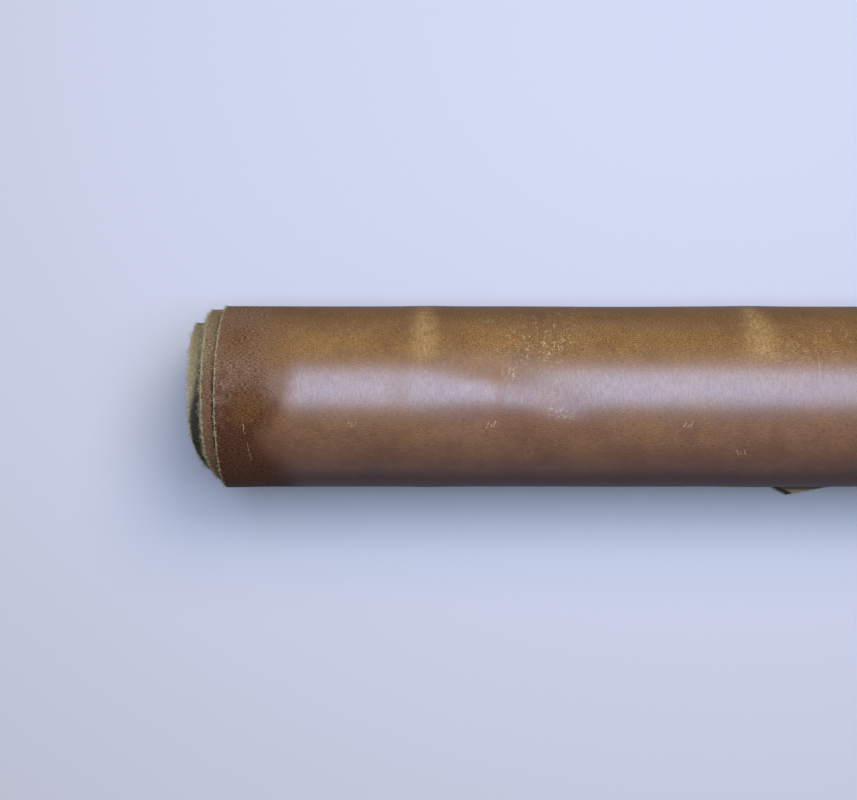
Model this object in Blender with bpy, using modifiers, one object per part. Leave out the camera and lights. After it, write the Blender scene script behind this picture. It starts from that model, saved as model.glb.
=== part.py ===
"""A leather hide, rolled up with its grain side out and lying on its flat spot.

X runs along the roll, Y to the back and Z up.  The origin is on the flat spot, at half
the length of the roll.  All sizes are in metres.

The hide is one sheet.  Its loose end lies on the ground in front of the flat spot.  From
there the sheet passes under the roll, climbs the back, comes over the top and down the
front, and winds inwards turn by turn around a hollow core.
"""

import math

import bmesh
import bpy

# The leather
LEATHER_THICKNESS = 0.0018
AIR_BETWEEN_TURNS = 0.0004
HIDE_WIDTH = 0.900

# The roll.  Turns are counted from the middle of the flat spot.
OUTER_RADIUS = 0.061
TURNS = 8.375
STEPS_PER_TURN = 32
TURN_PITCH = LEATHER_THICKNESS + AIR_BETWEEN_TURNS

# The flat spot takes one step of the winding on each side of the bottom
FLAT_HALF_TURN = 1 / STEPS_PER_TURN
AXIS_HEIGHT = OUTER_RADIUS * math.cos(2 * math.pi * FLAT_HALF_TURN)
ROUNDING_SLACK = 0.0001

# The loose end: a place along the roll, and how far the leather reaches forward there
# from the middle of the flat spot.  Its blunt corner is the only part seen from above.
LOOSE_END = (
    # place, reach
    (-HIDE_WIDTH / 2, 0.030),
    (-0.300, 0.026),
    (-0.180, 0.034),
    (-0.0775, 0.0620),
    (-0.0645, 0.0690),
    (-0.0400, 0.0645),
    (0.150, 0.036),
    (0.330, 0.034),
    (HIDE_WIDTH / 2, 0.038),
)

# The side edges: after so many turns, how far the leather reaches past the hide's plain
# width, at the left end and at the right end of the roll.
SIDE_EDGES = (
    # turns, left, right
    (0.00, 0.0000, 0.0000),
    (0.50, 0.0012, 0.0010),
    (0.90, 0.0015, 0.0020),
    (1.10, 0.0107, -0.0060),
    (1.58, 0.0098, -0.0050),
    (1.74, 0.0020, -0.0040),
    (2.10, 0.0125, 0.0050),
    (2.60, 0.0105, 0.0070),
    (2.74, 0.0010, 0.0080),
    (3.10, 0.0050, 0.0120),
    (3.90, 0.0060, 0.0100),
    (4.15, 0.0090, 0.0030),
    (4.85, 0.0100, 0.0020),
    (5.10, 0.0215, -0.0080),
    (5.55, 0.0195, -0.0070),
    (5.75, 0.0110, -0.0050),
    (6.15, 0.0120, 0.0060),
    (7.00, 0.0140, 0.0080),
    (7.50, 0.0110, 0.0140),
    (8.40, 0.0080, 0.0120),
)

GRAIN_BROWN = (0.178, 0.092, 0.038, 1.0)
GRAIN_ROUGHNESS = 0.42
SHARP_EDGE_ANGLE = math.radians(40)


def clear_scene():
    for old in list(bpy.data.objects):
        bpy.data.objects.remove(old)


def leather_material():
    material = bpy.data.materials.new("brown leather")
    material.use_nodes = True
    shader = material.node_tree.nodes["Principled BSDF"]
    shader.inputs["Base Color"].default_value = GRAIN_BROWN
    shader.inputs["Roughness"].default_value = GRAIN_ROUGHNESS
    shader.inputs["Metallic"].default_value = 0.0
    return material


def side_reach(turns, column):
    """Read a column of the side edge table, eased from one row to the next."""
    if turns <= SIDE_EDGES[0][0]:
        return SIDE_EDGES[0][column]
    for before, after in zip(SIDE_EDGES, SIDE_EDGES[1:]):
        if turns <= after[0]:
            part = (turns - before[0]) / (after[0] - before[0])
            eased = part * part * (3 - 2 * part)
            return before[column] + eased * (after[column] - before[column])
    return SIDE_EDGES[-1][column]


def place_along_roll(column, turns):
    """Where a column of the sheet lies in X, after so many turns."""
    place = LOOSE_END[column][0]
    if column == 0:
        return place - side_reach(turns, 1)
    if column == len(LOOSE_END) - 1:
        return place + side_reach(turns, 2)
    return place


def wound_point(turns):
    """Y and Z of the grain side after so many turns from the middle of the flat spot."""
    radius = OUTER_RADIUS - TURN_PITCH * turns
    angle = 2 * math.pi * turns
    whole_turns = round(turns)
    y = radius * math.sin(angle)
    if abs(turns - whole_turns) < FLAT_HALF_TURN + ROUNDING_SLACK:
        # Each turn lies flat on the turns below it, or on the ground
        return y, TURN_PITCH * whole_turns
    return y, AXIS_HEIGHT - radius * math.cos(angle)


def roll_up(sheet):
    """Move each point of the flat sheet to its place in the roll.

    Its first row becomes the loose end, and its second the front of the flat spot.
    """
    for index, vertex in enumerate(sheet.verts):
        row, column = divmod(index, len(LOOSE_END))
        if row == 0:
            reach = LOOSE_END[column][1]
            vertex.co = (place_along_roll(column, 0), -reach, 0)
        else:
            turns = (row - 1) / STEPS_PER_TURN - FLAT_HALF_TURN
            y, z = wound_point(turns)
            vertex.co = (place_along_roll(column, turns), y, z)


def make_hide(collection):
    """Roll up a flat grid, and give it the leather's thickness on its inner side."""
    steps_wound = round((TURNS + FLAT_HALF_TURN) * STEPS_PER_TURN)
    sheet = bmesh.new()
    bmesh.ops.create_grid(
        sheet,
        x_segments=len(LOOSE_END) - 1,
        y_segments=steps_wound + 1,
        size=HIDE_WIDTH / 2,
    )
    roll_up(sheet)
    # The grid faces the inside of the roll, and the grain faces outwards
    bmesh.ops.reverse_faces(sheet, faces=sheet.faces)
    mesh = bpy.data.meshes.new("hide")
    sheet.to_mesh(mesh)
    sheet.free()
    mesh.materials.append(leather_material())

    hide = bpy.data.objects.new("hide", mesh)
    collection.objects.link(hide)
    solidify = hide.modifiers.new("leather thickness", "SOLIDIFY")
    solidify.thickness = LEATHER_THICKNESS
    solidify.offset = -1
    solidify.use_even_offset = True
    mesh.shade_smooth()
    mesh.set_sharp_from_angle(angle=SHARP_EDGE_ANGLE)
    return hide


def main():
    clear_scene()
    collection = bpy.data.collections.new("leather hide")
    bpy.context.scene.collection.children.link(collection)
    make_hide(collection)


main()
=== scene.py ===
# %% [markdown]
# # A side of brown leather, rolled up
#
# A tanner sells thick leather by the side, which is half a cow hide, and rolls it with
# the waxed grain outside so that it doesn't crease.  This notebook dresses the plain
# solid of such a roll.  Everything is in metres: X runs along the roll, Y to the back
# and Z up, and the roll rests on its flat spot at the origin.

# %% Load the plain solid
import math

import bpy
import numpy as np
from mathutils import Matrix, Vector


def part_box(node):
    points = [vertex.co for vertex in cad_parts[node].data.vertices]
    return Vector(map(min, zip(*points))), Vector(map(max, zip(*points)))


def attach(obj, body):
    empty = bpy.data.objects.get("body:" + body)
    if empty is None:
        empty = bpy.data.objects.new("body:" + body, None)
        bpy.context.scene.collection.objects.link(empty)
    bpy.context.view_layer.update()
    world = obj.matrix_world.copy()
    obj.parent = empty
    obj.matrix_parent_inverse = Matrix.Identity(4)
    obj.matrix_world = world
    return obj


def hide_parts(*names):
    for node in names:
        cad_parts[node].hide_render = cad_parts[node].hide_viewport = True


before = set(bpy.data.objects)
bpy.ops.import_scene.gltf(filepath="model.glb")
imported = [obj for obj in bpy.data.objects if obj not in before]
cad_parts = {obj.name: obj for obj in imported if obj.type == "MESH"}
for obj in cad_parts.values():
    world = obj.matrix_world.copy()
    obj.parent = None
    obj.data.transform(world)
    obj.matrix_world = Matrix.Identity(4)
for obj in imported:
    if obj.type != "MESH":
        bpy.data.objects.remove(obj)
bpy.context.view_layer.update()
solid_low, solid_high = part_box("hide")
print("solid roll from", list(solid_low), "to", list(solid_high))

# %% [markdown]
# The hide is one long sheet, so the whole roll follows from a few sizes: how thick the
# leather is, how much air lies between two turns, and how wide the outermost turn is.
# They are those of the plain solid, so the dressed sheet lies in its place.

# %% Sizes of the leather and of the roll
LEATHER = 0.0018
AIR_BETWEEN_TURNS = 0.0004
TURN_PITCH = LEATHER + AIR_BETWEEN_TURNS
HALF_WIDTH = 0.450
OUTER_RADIUS = 0.061
TURNS = 8.375
FLAT_HALF_TURN = 1 / 32
AXIS_HEIGHT = OUTER_RADIUS * math.cos(2 * math.pi * FLAT_HALF_TURN)
FLAT_HALF_WIDTH = OUTER_RADIUS * math.sin(2 * math.pi * FLAT_HALF_TURN)
print("turns:", TURNS, "pitch in mm:", TURN_PITCH * 1000)

# %% [markdown]
# Two tables say where the sheet ends.  The loose end lies flat in front of the flat
# spot and has one blunt corner, which peeks out from under the roll.  The side edges
# were cut straight, but no hide rolls up quite square: each turn reaches out a little
# more or less than the one around it, and so the ends of the roll are stepped.

# %% Where the sheet ends
LOOSE_END = np.array([
    # place along the roll, reach in front of the middle of the flat spot
    (-0.450, 0.030),
    (-0.300, 0.026),
    (-0.180, 0.034),
    (-0.0775, 0.0620),
    (-0.0645, 0.0690),
    (-0.0400, 0.0645),
    (0.150, 0.036),
    (0.330, 0.034),
    (0.450, 0.038),
])
SIDE_EDGES = np.array([
    # turns, reach at the left end, reach at the right end
    (0.00, 0.0000, 0.0000),
    (0.50, 0.0012, 0.0010),
    (0.90, 0.0015, 0.0020),
    (1.10, 0.0107, -0.0060),
    (1.58, 0.0098, -0.0050),
    (1.74, 0.0020, -0.0040),
    (2.10, 0.0125, 0.0050),
    (2.60, 0.0105, 0.0070),
    (2.74, 0.0010, 0.0080),
    (3.10, 0.0050, 0.0120),
    (3.90, 0.0060, 0.0100),
    (4.15, 0.0090, 0.0030),
    (4.85, 0.0100, 0.0020),
    (5.10, 0.0215, -0.0080),
    (5.55, 0.0195, -0.0070),
    (5.75, 0.0110, -0.0050),
    (6.15, 0.0120, 0.0060),
    (7.00, 0.0140, 0.0080),
    (7.50, 0.0110, 0.0140),
    (8.40, 0.0080, 0.0120),
])


def smooth_step(value, low, high):
    """Rise from 0 at low to 1 at high, without a corner at either."""
    share = np.clip((value - low) / (high - low), 0, 1)
    return share * share * (3 - 2 * share)


def read_table(table, column, value):
    """A column of a table at value, eased from row to row."""
    value = np.clip(value, table[0, 0], table[-1, 0])
    after = np.clip(np.searchsorted(table[:, 0], value), 1, len(table) - 1)
    before = after - 1
    share = smooth_step(value, table[before, 0], table[after, 0])
    return table[before, column] * (1 - share) + table[after, column] * share


print("the corner reaches", LOOSE_END[:, 1].max(), "m forward")

# %% [markdown]
# The camera stands right above the roll and looks straight down, as for a catalogue
# picture taken on a copy stand.  It is made early, because a finish can only be judged
# from where it will be seen.

# %% Camera straight above the left part of the roll
CAMERA_PLACE = (-0.3183, -0.0018, 0.8872)
SENSOR_WIDTH = 36.0
IMAGE_WIDTH = 857
FOCAL_LENGTH_IN_PIXELS = 1242
camera_data = bpy.data.cameras.new("overhead camera")
camera_data.sensor_width = SENSOR_WIDTH
camera_data.lens = FOCAL_LENGTH_IN_PIXELS * SENSOR_WIDTH / IMAGE_WIDTH
camera = bpy.data.objects.new("overhead_camera", camera_data)
camera.location = CAMERA_PLACE
bpy.context.scene.collection.objects.link(camera)
bpy.context.scene.camera = camera
bpy.context.scene.view_settings.view_transform = "Standard"
print("lens in mm:", round(camera_data.lens, 1))

# %% [markdown]
# Waxed leather shows its shape by what it mirrors.  A long softbox of cool daylight hangs
# overhead, a little to the back, and draws one pale band along the top of the roll.  A
# warm soft lamp from the back right fills in the brown.  It is kept out of the gloss, so
# that the band stays the only one, and the room stays dim so as not to veil the colour.

# %% Softbox overhead, warm fill and a dim room
SOFTBOX_HEIGHT = 1.32
SOFTBOX_LEFT = CAMERA_PLACE[0] - 0.50
SOFTBOX_RIGHT = CAMERA_PLACE[0] + 0.95
SOFTBOX_FRONT = -0.22
SOFTBOX_BACK = 0.80
SOFTBOX_RADIANCE = 6.1
SOFTBOX_COLOUR = (0.72, 0.91, 1.45)
FILL_DIRECTION = (0.42, 0.50, 0.78)
FILL_STRENGTH = 1.4
FILL_COLOUR = (1.0, 0.82, 0.60)
FILL_SOFTNESS = math.radians(30)
ROOM_COLOUR = (1.0, 0.94, 0.86, 1.0)
ROOM_STRENGTH = 0.14

softbox_data = bpy.data.lights.new("softbox", "AREA")
softbox_data.shape = "RECTANGLE"
softbox_data.size = SOFTBOX_RIGHT - SOFTBOX_LEFT
softbox_data.size_y = SOFTBOX_BACK - SOFTBOX_FRONT
softbox_data.energy = SOFTBOX_RADIANCE * math.pi * softbox_data.size * softbox_data.size_y
softbox_data.color = SOFTBOX_COLOUR
softbox = bpy.data.objects.new("softbox", softbox_data)
softbox.location = (
    (SOFTBOX_LEFT + SOFTBOX_RIGHT) / 2,
    (SOFTBOX_FRONT + SOFTBOX_BACK) / 2,
    SOFTBOX_HEIGHT,
)
softbox.visible_camera = False
bpy.context.scene.collection.objects.link(softbox)

fill_data = bpy.data.lights.new("warm fill", "SUN")
fill_data.energy = FILL_STRENGTH
fill_data.color = FILL_COLOUR
fill_data.angle = FILL_SOFTNESS
fill = bpy.data.objects.new("warm_fill", fill_data)
fill.rotation_euler = Vector(FILL_DIRECTION).to_track_quat("Z", "Y").to_euler()
fill.visible_glossy = False
bpy.context.scene.collection.objects.link(fill)

room = bpy.data.worlds.new("room")
room.use_nodes = True
room.node_tree.nodes["Background"].inputs["Color"].default_value = ROOM_COLOUR
room.node_tree.nodes["Background"].inputs["Strength"].default_value = ROOM_STRENGTH
bpy.context.scene.world = room
print("softbox power in watts:", round(softbox_data.energy, 1))

# %% [markdown]
# ## The sheet
#
# A spiral could be a curve with a bevel, but leather has two faces and a cut edge with
# three different finishes.  So the sheet is a grid of points that lies flat at first,
# with a row for each step of the winding and a column for each place across the hide.
# Rows and columns lie closest where the roll is seen best, and three columns more keep the
# corner of the loose end sharp.  The flat places double as the UV map: a mark given in
# metres on the flat hide then stays where it is when the hide is rolled up.

# %% Rows and columns of the flat hide
OUTER_TURNS = 1.3
OUTER_STEPS_PER_TURN = 96
INNER_STEPS_PER_TURN = 44
TAIL_ROWS = 10


def steps(low, high, size):
    """Evenly spaced values from low up to, but not including, high."""
    count = round((high - low) / size)
    return np.linspace(low, high, count, endpoint=False)


EDGE_COLUMNS = np.array([0.0, 0.003, 0.008, 0.015, 0.024, 0.034, 0.045])
columns = np.concatenate([
    EDGE_COLUMNS - HALF_WIDTH,
    steps(-0.398, -0.030, 0.007),
    steps(-0.030, 0.398, 0.0134),
    HALF_WIDTH - EDGE_COLUMNS[::-1],
])
columns = np.sort(np.append(columns, LOOSE_END[3:6, 0]))
wound_turns = np.concatenate([
    steps(-FLAT_HALF_TURN, OUTER_TURNS, 1 / OUTER_STEPS_PER_TURN),
    steps(OUTER_TURNS, TURNS, 1 / INNER_STEPS_PER_TURN),
    [TURNS],
])
print("columns:", len(columns), "rows:", len(wound_turns) + TAIL_ROWS)

# %% [markdown]
# After so many turns the sheet is at some angle, a little nearer to the axis than a turn
# before.  Where the circle would dip below the turn underneath, the sheet lies flat on
# it instead.  A soft maximum of the two heights bends the leather gently there, as a
# crease as sharp as in the plain solid doesn't form in thick leather.

# %% Wind a point
BEND_SOFTNESS = 0.0006


def length_wound(turns):
    """How much leather has been wound after so many turns."""
    return math.pi * (2 * OUTER_RADIUS * turns - TURN_PITCH * turns * turns)


def wound_place(turns):
    """Y and Z of the grain side after so many turns from the flat spot's middle."""
    angle = 2 * math.pi * turns
    radius = OUTER_RADIUS - TURN_PITCH * turns
    layer_below = TURN_PITCH * np.round(turns)
    y = radius * np.sin(angle)
    rise = AXIS_HEIGHT - radius * np.cos(angle) - layer_below
    soft = (rise + np.sqrt(rise * rise + BEND_SOFTNESS**2)) / 2
    on_ground = smooth_step(turns, 0, FLAT_HALF_TURN / 2)
    return y, layer_below + soft * on_ground


print("leather wound, in m:", round(length_wound(TURNS), 3))

# %% [markdown]
# Real leather isn't a perfect cylinder.  It keeps soft swellings where it was once
# folded, shallow dents where it was pressed, and places that tip a few degrees, which
# show as bends in the pale band.  Every turn follows the one inside it, so the same
# relief goes through the whole roll and the turns never meet.

# %% Soft relief of the roll
SWELLINGS = (
    # place along the roll, height, half length
    (-0.318, 0.00028, 0.011),
    (-0.106, 0.00030, 0.011),
    (0.115, 0.00025, 0.013),
    (0.330, 0.00028, 0.012),
)
DENTS = (
    # place along the roll, turns, depth, half length, half height
    (-0.180, 0.300, 0.0003, 0.030, 0.015),
    (0.020, 0.800, 0.0006, 0.030, 0.016),
    (-0.200, 0.180, 0.0007, 0.028, 0.016),
)
TIPPED = (
    # place along the roll, turns, slope, half length, half height
    (-0.2870, 0.465, 0.110, 0.0150, 0.0100),
    (-0.2610, 0.485, 0.130, 0.0130, 0.0130),
    (-0.2356, 0.528, 0.110, 0.0100, 0.0100),
    (0.0700, 0.465, 0.080, 0.0200, 0.0110),
    (0.2400, 0.520, 0.090, 0.0180, 0.0120),
)
WAVES = (
    # height, waves around the roll, waves per metre along it, shift
    (0.00012, 1, 2.1, 0.4),
    (0.00009, 2, 3.7, 1.9),
    (0.00006, 3, 6.3, 4.1),
    (0.00004, 5, 9.5, 2.6),
)
CLEAR_OF_GROUND = (0.46, 0.34)


def bump_shape(distance, reach):
    return np.exp(-0.5 * (distance / reach) ** 2)


def arc_from(turns, turn):
    """Signed distance around the roll from the place at turn, on any turn of the sheet."""
    around = (turns - turn + 0.5) % 1 - 0.5
    return around * 2 * math.pi * OUTER_RADIUS


def relief(place, turns):
    """How far the leather stands out from the smooth spiral."""
    angle = 2 * math.pi * turns
    height = np.zeros_like(place)
    for where, tall, reach in SWELLINGS:
        height += tall * bump_shape(place - where, reach)
    for where, turn, deep, reach, tall_reach in DENTS:
        arc = arc_from(turns, turn)
        height -= deep * bump_shape(place - where, reach) * bump_shape(arc, tall_reach)
    for where, turn, slope, reach, tall_reach in TIPPED:
        arc = arc_from(turns, turn)
        height += slope * arc * bump_shape(place - where, reach) * bump_shape(arc, tall_reach)
    for tall, around, along, shift in WAVES:
        along_roll = np.cos(2 * math.pi * along * place + 2 * shift)
        height += tall * np.cos(around * angle + shift) * along_roll
    # The relief fades out where a turn lies on the flat spot
    from_top = np.abs(turns % 1 - 0.5)
    return height * smooth_step(from_top, *CLEAR_OF_GROUND)


print("deepest dent in mm:", 1000 * max(row[2] for row in DENTS))

# %% [markdown]
# Now each point of the flat grid goes to its place in the roll.  The reach from the side
# table moves a whole margin outwards and fades away over 12 cm, so nothing is stretched.
# The outermost turn is a little loose at its ends, and opens a thin dark gap there.

# %% Roll up the grid
MARGIN_FADE = 0.12
END_LOOSENESS = 0.00090
LOOSE_MARGIN = 0.030
LOOSEST_TURN = 0.58
LOOSE_HALF_TURN = 0.14
CORNER_PLACE = LOOSE_END[4, 0]
CORNER_LIFT = 0.0045
CORNER_HALF_WIDTH = 0.030
SMALL_TURN = 1e-4


def near_side(place, margin):
    """0 away from the side edge at the end of +X, and 1 at that edge."""
    return smooth_step(place, HALF_WIDTH - margin, HALF_WIDTH)


def reach_to_side(place, turns):
    left = read_table(SIDE_EDGES, 1, turns) * near_side(-place, MARGIN_FADE)
    right = read_table(SIDE_EDGES, 2, turns) * near_side(place, MARGIN_FADE)
    return right - left


def wind_rows(turns):
    """The points of the wound rows, a row for each value of turns."""
    place, turns = np.meshgrid(columns, turns)
    y, z = wound_place(turns)
    y_after, z_after = wound_place(turns + SMALL_TURN)
    across = np.stack([z_after - z, y - y_after])
    across /= np.linalg.norm(across, axis=0)
    loose = near_side(np.abs(place), LOOSE_MARGIN)
    loose *= bump_shape(turns - LOOSEST_TURN, LOOSE_HALF_TURN) * END_LOOSENESS
    out = relief(place, turns) + loose
    x = place + reach_to_side(place, turns)
    points = np.stack([x, y + out * across[0], z + out * across[1]], axis=-1)
    flat = np.stack([place, length_wound(turns)], axis=-1)
    return points, flat


def tail_rows():
    """The points of the loose end, which lies flat, from its tip back to the flat spot."""
    share = np.linspace(1, 0, TAIL_ROWS, endpoint=False)
    place, share = np.meshgrid(columns, share)
    reach = np.interp(place, LOOSE_END[:, 0], LOOSE_END[:, 1])
    beyond = (reach - FLAT_HALF_WIDTH) * share
    lift = CORNER_LIFT * share**2 * bump_shape(place - CORNER_PLACE, CORNER_HALF_WIDTH)
    points = np.stack([place, -FLAT_HALF_WIDTH - beyond, lift], axis=-1)
    flat = np.stack([place, length_wound(-FLAT_HALF_TURN) - beyond], axis=-1)
    return points, flat


tail_points, tail_flat = tail_rows()
wound_points, wound_flat = wind_rows(wound_turns)
points = np.concatenate([tail_points, wound_points])
flat_places = np.concatenate([tail_flat, wound_flat])
print("points in the sheet:", points.shape[0] * points.shape[1])

# %% [markdown]
# A grid of faces, computed row by row and column by column, joins the points of the
# arrays.  The Solidify modifier then adds the leather's thickness inwards.  It can give
# the new inner side and the rim other materials, which is just what grain, flesh and cut
# edge need.

# %% The hide as a mesh
# Numbers of the materials.  The grain side has number 0
FLESH, CUT = 1, 2
SHARP_EDGE = math.radians(50)


def grid_faces(rows, count):
    """Corner numbers of a grid's faces, turned so that the grain faces outwards."""
    first = (np.arange(rows - 1)[:, None] * count + np.arange(count - 1)).ravel()
    return np.stack([first, first + count, first + count + 1, first + 1], axis=1)


def sheet_mesh(name, points, flat_places):
    rows, count = points.shape[:2]
    mesh = bpy.data.meshes.new(name)
    mesh.from_pydata(points.reshape(-1, 3).tolist(), [], grid_faces(rows, count).tolist())
    hide_map = mesh.uv_layers.new(name="hide in metres")
    corner_points = np.empty(len(mesh.loops), dtype=np.int32)
    mesh.loops.foreach_get("vertex_index", corner_points)
    hide_map.uv.foreach_set("vector", flat_places.reshape(-1, 2)[corner_points].ravel())
    mesh.shade_smooth()
    return mesh


def thicken(obj):
    """Give the sheet its thickness, and keep the result as a plain mesh."""
    solidify = obj.modifiers.new("leather thickness", "SOLIDIFY")
    solidify.thickness = LEATHER
    solidify.offset = -1
    solidify.use_even_offset = True
    solidify.material_offset = FLESH
    solidify.material_offset_rim = CUT
    view = bpy.context.evaluated_depsgraph_get()
    solid = bpy.data.meshes.new_from_object(obj.evaluated_get(view), depsgraph=view)
    obj.modifiers.clear()
    thin = obj.data
    obj.data = solid
    bpy.data.meshes.remove(thin)
    solid.set_sharp_from_angle(angle=SHARP_EDGE)


print("faces in the thin sheet:", len(grid_faces(*points.shape[:2])))

# %% [markdown]
# ## Finishes
#
# Every finish is built from nodes.  Two small classes keep that readable.  The wiring
# adds a node to a tree and wires its inputs.  What comes out of a node can be added,
# multiplied and so on like a number, and each such step is a Math node of its own.

# %% Helpers that wire nodes
class Value:
    """One output of a node."""

    def __init__(self, wires, socket):
        self.wires = wires
        self.socket = socket

    def __add__(self, other):
        return self.wires.math("ADD", self, other)

    def __sub__(self, other):
        return self.wires.math("SUBTRACT", self, other)

    def __rsub__(self, other):
        return self.wires.math("SUBTRACT", other, self)

    def __mul__(self, other):
        return self.wires.math("MULTIPLY", self, other)

    def __truediv__(self, other):
        return self.wires.math("DIVIDE", self, other)

    def __rtruediv__(self, other):
        return self.wires.math("DIVIDE", other, self)

    def __abs__(self):
        return self.wires.math("ABSOLUTE", self)

    def eased(self, low, high, start=0.0, end=1.0):
        """start up to low, end from high onwards, and eased in between."""
        inputs = {"Value": self, "From Min": low, "From Max": high, "To Min": start, "To Max": end}
        return self.wires.node("ShaderNodeMapRange", inputs, interpolation_type="SMOOTHSTEP")[0]


class Outputs:
    """All outputs of a node, by name or number."""

    def __init__(self, wires, sockets):
        self.wires = wires
        self.sockets = sockets

    def __getitem__(self, name):
        return Value(self.wires, self.sockets[name])


class Wiring:
    """Adds nodes to one node tree.  An input may be a plain value or come from a node."""

    def __init__(self, tree):
        self.tree = tree

    def feed(self, socket, value):
        if isinstance(value, Value):
            self.tree.links.new(value.socket, socket)
        else:
            socket.default_value = value

    def node(self, kind, inputs, **settings):
        node = self.tree.nodes.new(kind)
        for name, value in settings.items():
            setattr(node, name, value)
        for name, value in inputs.items():
            self.feed(node.inputs[name], value)
        return Outputs(self, node.outputs)

    def group(self, group, inputs):
        return self.node("ShaderNodeGroup", inputs, node_tree=group)

    def math(self, operation, first, second=0.0, clamp=False):
        inputs = {0: first, 1: second}
        return self.node("ShaderNodeMath", inputs, operation=operation, use_clamp=clamp)[0]

    def larger(self, first, second):
        return self.math("MAXIMUM", first, second)

    def blend(self, share, first, second):
        """The first colour where share is 0, the second where it is 1."""
        return self.node("ShaderNodeMix", {0: share, 6: first, 7: second}, data_type="RGBA")[2]

    def mix(self, share, first, second):
        """The same for plain values."""
        return self.node("ShaderNodeMix", {0: share, 2: first, 3: second}, data_type="FLOAT")[0]

    def noise(self, place, scale, detail, roughness):
        inputs = {"Vector": place, "Scale": scale, "Detail": detail, "Roughness": roughness}
        return self.node("ShaderNodeTexNoise", inputs, noise_dimensions="3D")[0]

    def vector(self, operation, first, second=(0, 0, 0), output="Vector"):
        inputs = {0: first, 1: second}
        return self.node("ShaderNodeVectorMath", inputs, operation=operation)[output]

    def scaled(self, vector, factor):
        return self.node("ShaderNodeVectorMath", {0: vector, "Scale": factor}, operation="SCALE")[0]

    def split(self, vector):
        return self.node("ShaderNodeSeparateXYZ", {0: vector})

    def swayed(self, place, scale, reach):
        """The place, moved to and fro by a wide noise."""
        inputs = {"Vector": place, "Scale": scale, "Detail": 1.0}
        aside = self.node("ShaderNodeTexNoise", inputs)["Color"]
        aside = self.vector("SUBTRACT", aside, (0.5, 0.5, 0.5))
        return self.vector("ADD", place, self.scaled(aside, reach))

    def bump(self, height):
        """The normal of a relief whose height is in millimetres."""
        inputs = {"Height": height, "Distance": MILLIMETRE, "Strength": 1.0}
        return self.node("ShaderNodeBump", inputs)[0]


MILLIMETRE = 0.001


def new_group(name, inputs, outputs):
    """An empty node group with a place and other inputs, and the wiring to fill it."""
    group = bpy.data.node_groups.new(name, "ShaderNodeTree")
    for title, value in {"Place": (0, 0, 0), **inputs}.items():
        kind = "NodeSocketVector" if isinstance(value, tuple) else "NodeSocketFloat"
        socket = group.interface.new_socket(title, in_out="INPUT", socket_type=kind)
        socket.default_value = value
    for title in outputs:
        group.interface.new_socket(title, in_out="OUTPUT", socket_type="NodeSocketFloat")
    wires = Wiring(group)
    given = Outputs(wires, group.nodes.new("NodeGroupInput").outputs)
    result = group.nodes.new("NodeGroupOutput").inputs
    return group, wires, given, result


print("helpers ready")

# %% [markdown]
# Grain is the pattern of pores and fine creases on the outer skin.  Voronoi cells a
# millimetre across, on a slightly warped place, leave creases between small pillows.

# %% Group: pebbled grain
pebbled_grain, wires, given, result = new_group(
    "pebbled grain", {"Pebble Size": 0.0010, "Warp": 0.0006}, ["Height", "Speckle"]
)
warped = wires.swayed(given["Place"], 700.0, given["Warp"])
pebbles_per_metre = 1.0 / given["Pebble Size"]
cells = wires.node(
    "ShaderNodeTexVoronoi",
    {"Vector": warped, "Scale": pebbles_per_metre},
    voronoi_dimensions="2D",
    feature="DISTANCE_TO_EDGE",
)["Distance"]
wires.feed(result["Height"], cells.eased(0.0, 0.22))
wires.feed(result["Speckle"], wires.noise(given["Place"], pebbles_per_metre, 2.0, 0.6))
print(pebbled_grain.name)

# %% [markdown]
# Rolling, brushing and drawing the leather over the edge of a bench leave fine lines in
# one direction.  A noise that is stretched one way makes them, short dashes or long
# hairlines alike.  A second, wide noise sways them, so that they don't look woven.

# %% Group: drawn streaks
drawn_streaks, wires, given, result = new_group(
    "drawn streaks",
    {"Size Across Hide": 0.01, "Size Along Hide": 0.001, "Sway": 0.0015, "Seed": 0.0},
    ["Streak"],
)
split = wires.split(wires.swayed(given["Place"], 170.0, given["Sway"]))
stretched = wires.node("ShaderNodeCombineXYZ", {
    0: split[0] / given["Size Across Hide"],
    1: split[1] / given["Size Along Hide"],
    2: given["Seed"],
})[0]
wires.feed(result["Streak"], wires.noise(stretched, 1.0, 3.0, 0.55))
print(drawn_streaks.name)

# %% [markdown]
# Where leather was folded, rubbed or pressed, its wax moves and the skin turns pale.
# Such places have a soft, ragged outline, here an ellipse whose border a noise breaks up.

# %% Group: ragged patch
ragged_patch, wires, given, result = new_group(
    "ragged patch",
    {"Centre": (0, 0, 0), "Reach": (0.01, 0.01, 1.0), "Raggedness": 0.5, "Fray Size": 0.004},
    ["Patch"],
)
offset = wires.vector("SUBTRACT", given["Place"], given["Centre"])
offset = wires.vector("DIVIDE", offset, given["Reach"])
distance = wires.vector("LENGTH", offset, output="Value")
fray = wires.noise(given["Place"], 1.0 / given["Fray Size"], 3.0, 0.6)
fray = (fray - 0.5) * given["Raggedness"]
wires.feed(result["Patch"], (distance + fray).eased(0.15, 1.0, 1.0, 0.0))
print(ragged_patch.name)

# %% [markdown]
# The hide was once folded across, and every fold left a golden band around the roll.  A
# band is a bell curve across the hide.  It widens from one place along the leather to
# another, and fades out at both.

# %% Group: fold band
BAND_WANDERS = 0.006
BAND_OPENS_OVER = 0.045
BAND_CLOSES_OVER = 0.025
BAND_END_WANDERS = 0.020

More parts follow.
